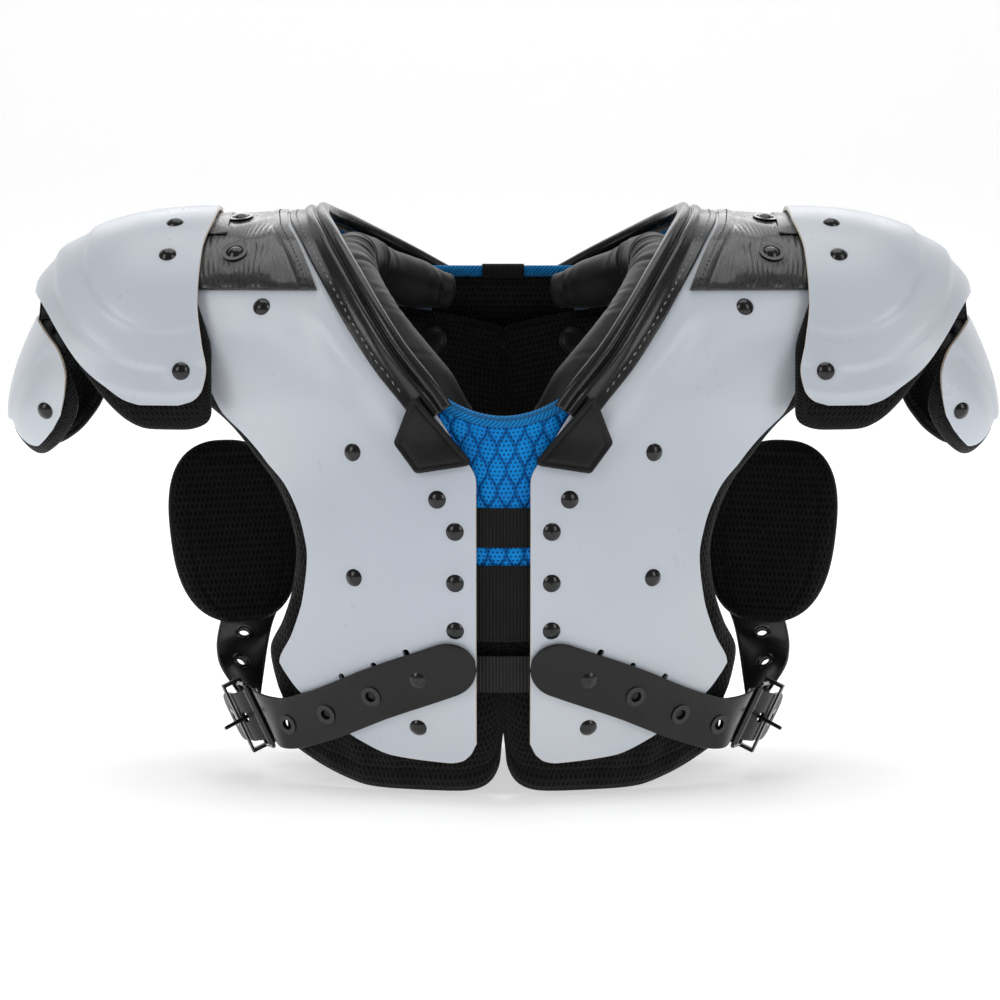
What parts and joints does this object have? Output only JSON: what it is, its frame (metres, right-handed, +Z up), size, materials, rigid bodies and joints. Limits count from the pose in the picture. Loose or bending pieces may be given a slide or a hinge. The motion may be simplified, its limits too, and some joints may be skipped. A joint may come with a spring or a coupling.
{
  "type": "american football shoulder pads",
  "caption": "Shoulder pads: moulded chest and back shells over a mesh liner, with hinged epaulets, deltoid caps, neck rolls and buckled side belts.",
  "frame": {"origin": "on the ground under the middle of the part, between chest and back", "axes": "+X towards the wearer's left, -Y out of the chest, +Z up"},
  "size_m": [0.6302, 0.2794, 0.3643],
  "materials": {
    "shell": "satin, slightly translucent",
    "vinyl": "glossy embossed vinyl",
    "belt": "semi-gloss coated belting",
    "mesh_black": "air mesh",
    "mesh_blue": "air mesh",
    "nylon": "satin nylon",
    "webbing": "woven webbing",
    "rivet": "gloss black",
    "wire": "gloss black"
  },
  "bodies": {
    "root": {"arch_left": "shell", "arch_right": "shell", "collar_trim_left": "vinyl", "collar_trim_right": "vinyl", "neck_lining_left": "mesh_blue", "neck_lining_right": "mesh_blue", "neck_roll_left": "nylon", "neck_roll_right": "nylon", "neck_badge_left": "vinyl", "neck_badge_right": "vinyl", "epaulet_strap_left": "vinyl", "epaulet_strap_right": "vinyl", "front_liner_left": "mesh_black", "front_liner_right": "mesh_black", "shoulder_liner_left": "mesh_black", "shoulder_liner_right": "mesh_black", "back_liner_left": "mesh_black", "back_liner_right": "mesh_black", "chest_bib": "mesh_blue", "bib_binding": "mesh_blue", "chest_strap_upper": "webbing", "chest_strap_middle": "webbing", "chest_strap_lower": "webbing", "back_strap_upper": "webbing", "back_strap_lower": "webbing", "nape_bridge": "webbing", "arch_rivets": "rivet", "strap_rivets": "rivet", "front_belt_left": "belt", "front_belt_right": "belt", "rear_belt_left": "belt", "rear_belt_right": "belt", "belt_eyelets": "rivet", "belt_rivets": "rivet", "belt_keepers": "belt", "liner_snaps": "vinyl"},
    "left_epaulet": {"epaulet_cup_left": "shell", "epaulet_pad_left": "mesh_black", "epaulet_tab_left": "vinyl", "epaulet_rivets_left": "rivet"},
    "left_deltoid": {"deltoid_cap_left": "shell", "deltoid_pad_left": "mesh_black", "deltoid_web_left": "webbing", "deltoid_rivets_left": "rivet"},
    "left_side_pad": {"side_pad_left": "mesh_black"},
    "left_buckle": {"buckle_frame_left": "wire"},
    "left_roller": {"buckle_roller_left": "wire"},
    "left_prong": {"buckle_prong_left": "wire"},
    "right_epaulet": {"epaulet_cup_right": "shell", "epaulet_pad_right": "mesh_black", "epaulet_tab_right": "vinyl", "epaulet_rivets_right": "rivet"},
    "right_deltoid": {"deltoid_cap_right": "shell", "deltoid_pad_right": "mesh_black", "deltoid_web_right": "webbing", "deltoid_rivets_right": "rivet"},
    "right_side_pad": {"side_pad_right": "mesh_black"},
    "right_buckle": {"buckle_frame_right": "wire"},
    "right_roller": {"buckle_roller_right": "wire"},
    "right_prong": {"buckle_prong_right": "wire"}
  },
  "joints": [
    {"name": "left_epaulet_hinge", "type": "hinge", "parent": "root", "child": "left_epaulet", "pos_m": [0.176, 0.007, 0.36], "axis": [0, -1, 0], "range_deg": [0, 60]},
    {"name": "left_deltoid_hinge", "type": "hinge", "parent": "left_epaulet", "child": "left_deltoid", "pos_m": [0.291, 0.007, 0.296], "axis": [0, -1, 0], "range_deg": [-6, 20]},
    {"name": "left_side_pad_hinge", "type": "hinge", "parent": "root", "child": "left_side_pad", "pos_m": [0.14, 0.081, 0.148], "axis": [0, 0, 1], "range_deg": [-10, 12]},
    {"name": "left_buckle_hinge", "type": "hinge", "parent": "root", "child": "left_buckle", "pos_m": [0.1605, -0.005, 0.038], "axis": [0.4194, 0, 0.9078], "range_deg": [0, 8]},
    {"name": "left_prong_hinge", "type": "hinge", "parent": "root", "child": "left_prong", "pos_m": [0.1605, -0.005, 0.038], "axis": [0.4194, 0, 0.9078], "range_deg": [-10, 10]},
    {"name": "left_roller_spin", "type": "hinge", "parent": "left_buckle", "child": "left_roller", "pos_m": [0.15425, -0.02903, 0.0409], "axis": [0.4194, 0, 0.9078], "continuous": true},
    {"name": "right_epaulet_hinge", "type": "hinge", "parent": "root", "child": "right_epaulet", "pos_m": [-0.176, 0.007, 0.36], "axis": [0, 1, 0], "range_deg": [0, 60]},
    {"name": "right_deltoid_hinge", "type": "hinge", "parent": "right_epaulet", "child": "right_deltoid", "pos_m": [-0.291, 0.007, 0.296], "axis": [0, 1, 0], "range_deg": [-6, 20]},
    {"name": "right_side_pad_hinge", "type": "hinge", "parent": "root", "child": "right_side_pad", "pos_m": [-0.14, 0.081, 0.148], "axis": [0, 0, -1], "range_deg": [-10, 12]},
    {"name": "right_buckle_hinge", "type": "hinge", "parent": "root", "child": "right_buckle", "pos_m": [-0.1605, -0.005, 0.038], "axis": [0.4194, 0, -0.9078], "range_deg": [0, 8]},
    {"name": "right_prong_hinge", "type": "hinge", "parent": "root", "child": "right_prong", "pos_m": [-0.1605, -0.005, 0.038], "axis": [0.4194, 0, -0.9078], "range_deg": [-10, 10]},
    {"name": "right_roller_spin", "type": "hinge", "parent": "right_buckle", "child": "right_roller", "pos_m": [-0.15425, -0.02903, 0.0409], "axis": [0.4194, 0, -0.9078], "continuous": true}
  ]
}
